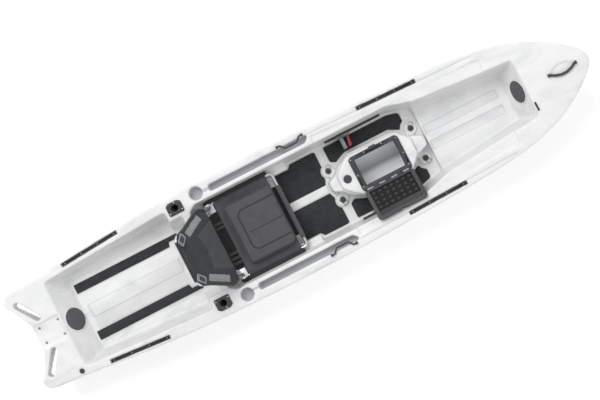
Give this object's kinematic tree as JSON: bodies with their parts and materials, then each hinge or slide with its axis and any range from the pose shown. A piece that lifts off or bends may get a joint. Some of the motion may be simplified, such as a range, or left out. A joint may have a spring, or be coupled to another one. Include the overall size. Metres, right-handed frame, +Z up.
{
  "type": "pedal boat",
  "caption": "Sit-on-top pedal fishing kayak hull with a lift-out centre pod, open hatch, framed folding seat, sliding foot braces, gear tracks and handles.",
  "frame": {"origin": "on the flat bottom, on the centreline, under the middle of the hull's length", "axes": "+X to the bow, +Y to port, +Z up"},
  "size_m": [3.84, 0.8404, 0.6453],
  "materials": {
    "brass": "satin",
    "cushion_grey": "stitched cloth",
    "fitting_black": "satin black",
    "frame_grey": "dark grey",
    "hatch_grey": "dark grey",
    "hull_plastic": "rotomoulded, fine pebble",
    "liner_grey": "smooth",
    "mesh_dark": "woven mesh",
    "pad_foam": "textured closed-cell foam",
    "pedal_grey": "satin",
    "screw_steel": "stainless",
    "track_black": "black anodised",
    "trigger_red": "satin red",
    "tube_silver": "satin",
    "webbing": "woven webbing"
  },
  "bodies": {
    "hull": {"hull": "hull_plastic", "gear_track_front_port": "track_black", "gear_track_front_starboard": "track_black", "gear_track_rear_port": "track_black", "gear_track_rear_starboard": "track_black", "gear_track_screws": "screw_steel", "rod_holder_port": "fitting_black", "rod_holder_starboard": "fitting_black", "rod_holder_screws": "screw_steel", "aft_floor_pad_port": "pad_foam", "aft_floor_pad_starboard": "pad_foam", "footwell_pad_port": "pad_foam", "footwell_pad_starboard": "pad_foam", "tank_well_strip_port": "pad_foam", "tank_well_strip_starboard": "pad_foam", "brace_rail_port": "fitting_black", "brace_rail_starboard": "fitting_black", "bow_hatch_ring": "hull_plastic", "stern_hatch_ring": "hull_plastic", "stern_inserts": "brass", "pad_eye": "fitting_black", "drain_bush": "fitting_black", "side_handle_eyes": "fitting_black", "bow_handle_lugs": "fitting_black"},
    "pod": {"pod_shell": "hull_plastic", "pod_liner": "liner_grey", "hatch_frame": "frame_grey", "hatch_frame_screws": "screw_steel", "hatch_hinge_pin": "screw_steel", "hatch_gasket": "fitting_black"},
    "hatch_lid": {"hatch_lid": "frame_grey", "lid_foam": "pad_foam", "lid_latch_pin": "screw_steel"},
    "lid_latch": {"lid_latch": "frame_grey"},
    "pod_cap": {"pod_cap": "frame_grey"},
    "seat": {"seat_frame": "tube_silver", "seat_feet": "fitting_black", "seat_sling": "mesh_dark", "seat_cushion": "cushion_grey", "seat_front_sleeve": "webbing", "backrest_brackets": "tube_silver", "backrest_pins": "screw_steel", "recline_straps": "webbing"},
    "backrest": {"backrest_frame": "tube_silver", "backrest_panel": "mesh_dark"},
    "bow_handle": {"bow_handle": "fitting_black"},
    "bow_hatch": {"bow_hatch_lid": "hatch_grey"},
    "stern_hatch": {"stern_hatch_lid": "hatch_grey"},
    "drain_plug": {"drain_plug": "fitting_black"},
    "pull_pin_aft_port": {"pull_pin_aft_port": "fitting_black"},
    "pull_pin_aft_starboard": {"pull_pin_aft_starboard": "fitting_black"},
    "pull_pin_front_port": {"pull_pin_front_port": "fitting_black"},
    "pull_pin_front_starboard": {"pull_pin_front_starboard": "fitting_black"},
    "side_handle_port": {"side_handle_port": "fitting_black"},
    "foot_pedal_port": {"foot_pedal_port": "pedal_grey"},
    "brace_trigger_port": {"brace_trigger_port": "trigger_red"},
    "side_handle_starboard": {"side_handle_starboard": "fitting_black"},
    "foot_pedal_starboard": {"foot_pedal_starboard": "pedal_grey"},
    "brace_trigger_starboard": {"brace_trigger_starboard": "trigger_red"}
  },
  "joints": [
    {"name": "pod_lift", "type": "slide", "parent": "hull", "child": "pod", "axis": [0, 0, 1], "range_m": [0, 0.3]},
    {"name": "hatch_lid_hinge", "type": "hinge", "parent": "pod", "child": "hatch_lid", "pos_m": [0.524, -0.114, 0.2725], "axis": [-1, 0, 0], "range_deg": [0, 155]},
    {"name": "lid_latch_pull", "type": "hinge", "parent": "hatch_lid", "child": "lid_latch", "pos_m": [0.524, -0.31104, 0.3615], "axis": [1, 0, 0], "range_deg": [0, 60]},
    {"name": "pull_pin_aft_port_lift", "type": "slide", "parent": "pod", "child": "pull_pin_aft_port", "axis": [0, 0, 1], "range_m": [0, 0.012], "stiffness_N_per_m": 600, "springref_m": -0.006},
    {"name": "pull_pin_aft_starboard_lift", "type": "slide", "parent": "pod", "child": "pull_pin_aft_starboard", "axis": [0, 0, 1], "range_m": [0, 0.012], "stiffness_N_per_m": 600, "springref_m": -0.006},
    {"name": "pull_pin_front_port_lift", "type": "slide", "parent": "pod", "child": "pull_pin_front_port", "axis": [0, 0, 1], "range_m": [0, 0.012], "stiffness_N_per_m": 600, "springref_m": -0.006},
    {"name": "pull_pin_front_starboard_lift", "type": "slide", "parent": "pod", "child": "pull_pin_front_starboard", "axis": [0, 0, 1], "range_m": [0, 0.012], "stiffness_N_per_m": 600, "springref_m": -0.006},
    {"name": "pod_cap_turn", "type": "hinge", "parent": "pod", "child": "pod_cap", "pos_m": [0.302, 0, 0.254], "axis": [0, 0, 1], "continuous": true},
    {"name": "seat_slide", "type": "slide", "parent": "hull", "child": "seat", "axis": [1, 0, 0], "range_m": [-0.05, 0.1]},
    {"name": "backrest_fold", "type": "hinge", "parent": "seat", "child": "backrest", "pos_m": [-0.535, 0, 0.283], "axis": [0, 1, 0], "range_deg": [0, 100]},
    {"name": "side_handle_port_lift", "type": "hinge", "parent": "hull", "child": "side_handle_port", "pos_m": [0.0875, 0.368, 0.3445], "axis": [-1, 0, 0], "range_deg": [0, 110]},
    {"name": "side_handle_starboard_lift", "type": "hinge", "parent": "hull", "child": "side_handle_starboard", "pos_m": [0.0875, -0.368, 0.3445], "axis": [1, 0, 0], "range_deg": [0, 110]},
    {"name": "bow_handle_lift", "type": "hinge", "parent": "hull", "child": "bow_handle", "pos_m": [1.744, 0, 0.4271], "axis": [-0.9949, 0, -0.1008], "range_deg": [0, 165]},
    {"name": "foot_pedal_port_slide", "type": "slide", "parent": "hull", "child": "foot_pedal_port", "axis": [1, 0, 0], "range_m": [-0.06, 0.205]},
    {"name": "brace_trigger_port_squeeze", "type": "hinge", "parent": "foot_pedal_port", "child": "brace_trigger_port", "pos_m": [0.426, 0.25275, 0.191], "axis": [0, 0, -1], "range_deg": [0, 9], "stiffness_Nm_per_rad": 0.4, "springref_deg": -5.73},
    {"name": "foot_pedal_starboard_slide", "type": "slide", "parent": "hull", "child": "foot_pedal_starboard", "axis": [1, 0, 0], "range_m": [-0.06, 0.205]},
    {"name": "brace_trigger_starboard_squeeze", "type": "hinge", "parent": "foot_pedal_starboard", "child": "brace_trigger_starboard", "pos_m": [0.426, -0.25275, 0.191], "axis": [0, 0, 1], "range_deg": [0, 9], "stiffness_Nm_per_rad": 0.4, "springref_deg": -5.73},
    {"name": "bow_hatch_turn", "type": "hinge", "parent": "hull", "child": "bow_hatch", "pos_m": [1.4705, 0, 0.2992], "axis": [-0.9397, 0, 0.342], "continuous": true},
    {"name": "stern_hatch_turn", "type": "hinge", "parent": "hull", "child": "stern_hatch", "pos_m": [-1.5783, 0, 0.2424], "axis": [0.766, 0, 0.6428], "continuous": true},
    {"name": "drain_plug_turn", "type": "hinge", "parent": "hull", "child": "drain_plug", "pos_m": [-1.672, -0.3, 0.317], "axis": [0, 0, 1], "continuous": true}
  ]
}
